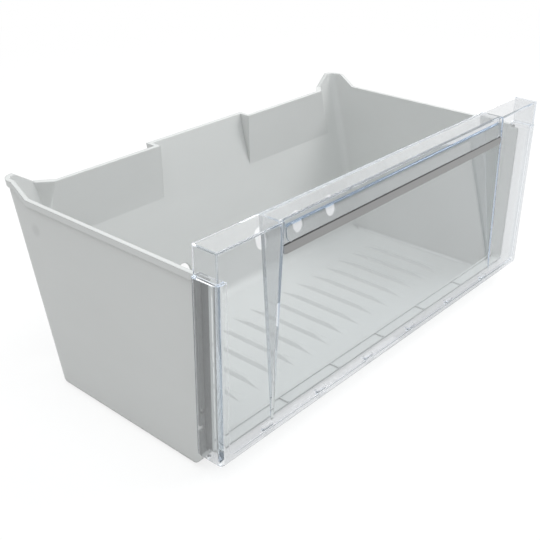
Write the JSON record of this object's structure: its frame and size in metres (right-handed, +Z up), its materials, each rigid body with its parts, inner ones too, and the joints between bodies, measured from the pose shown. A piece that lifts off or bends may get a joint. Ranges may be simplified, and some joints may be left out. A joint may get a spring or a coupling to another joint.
{
  "type": "fridge drawer",
  "caption": "Freezer drawer with a grey moulded tub, a leaning vented back wall, and a clear front cover whose handle lip carries a silver trim strip.",
  "frame": {"origin": "on the surface that the drawer stands on, under the middle of its outer box", "axes": "+X along the front from left to right as seen from the front, +Y from the front cover to the back wall, +Z up"},
  "size_m": [0.453, 0.2522, 0.1954],
  "materials": {
    "tub_plastic": "light grey moulded polystyrene with a fine satin grain",
    "clear_plastic": "clear polished polystyrene with a faint blue tint at its edges",
    "silver_trim": "silver strip, brushed along its length"
  },
  "bodies": {
    "root": {"tub": "tub_plastic", "front_cover": "clear_plastic", "handle_trim": "silver_trim"}
  },
  "joints": []
}
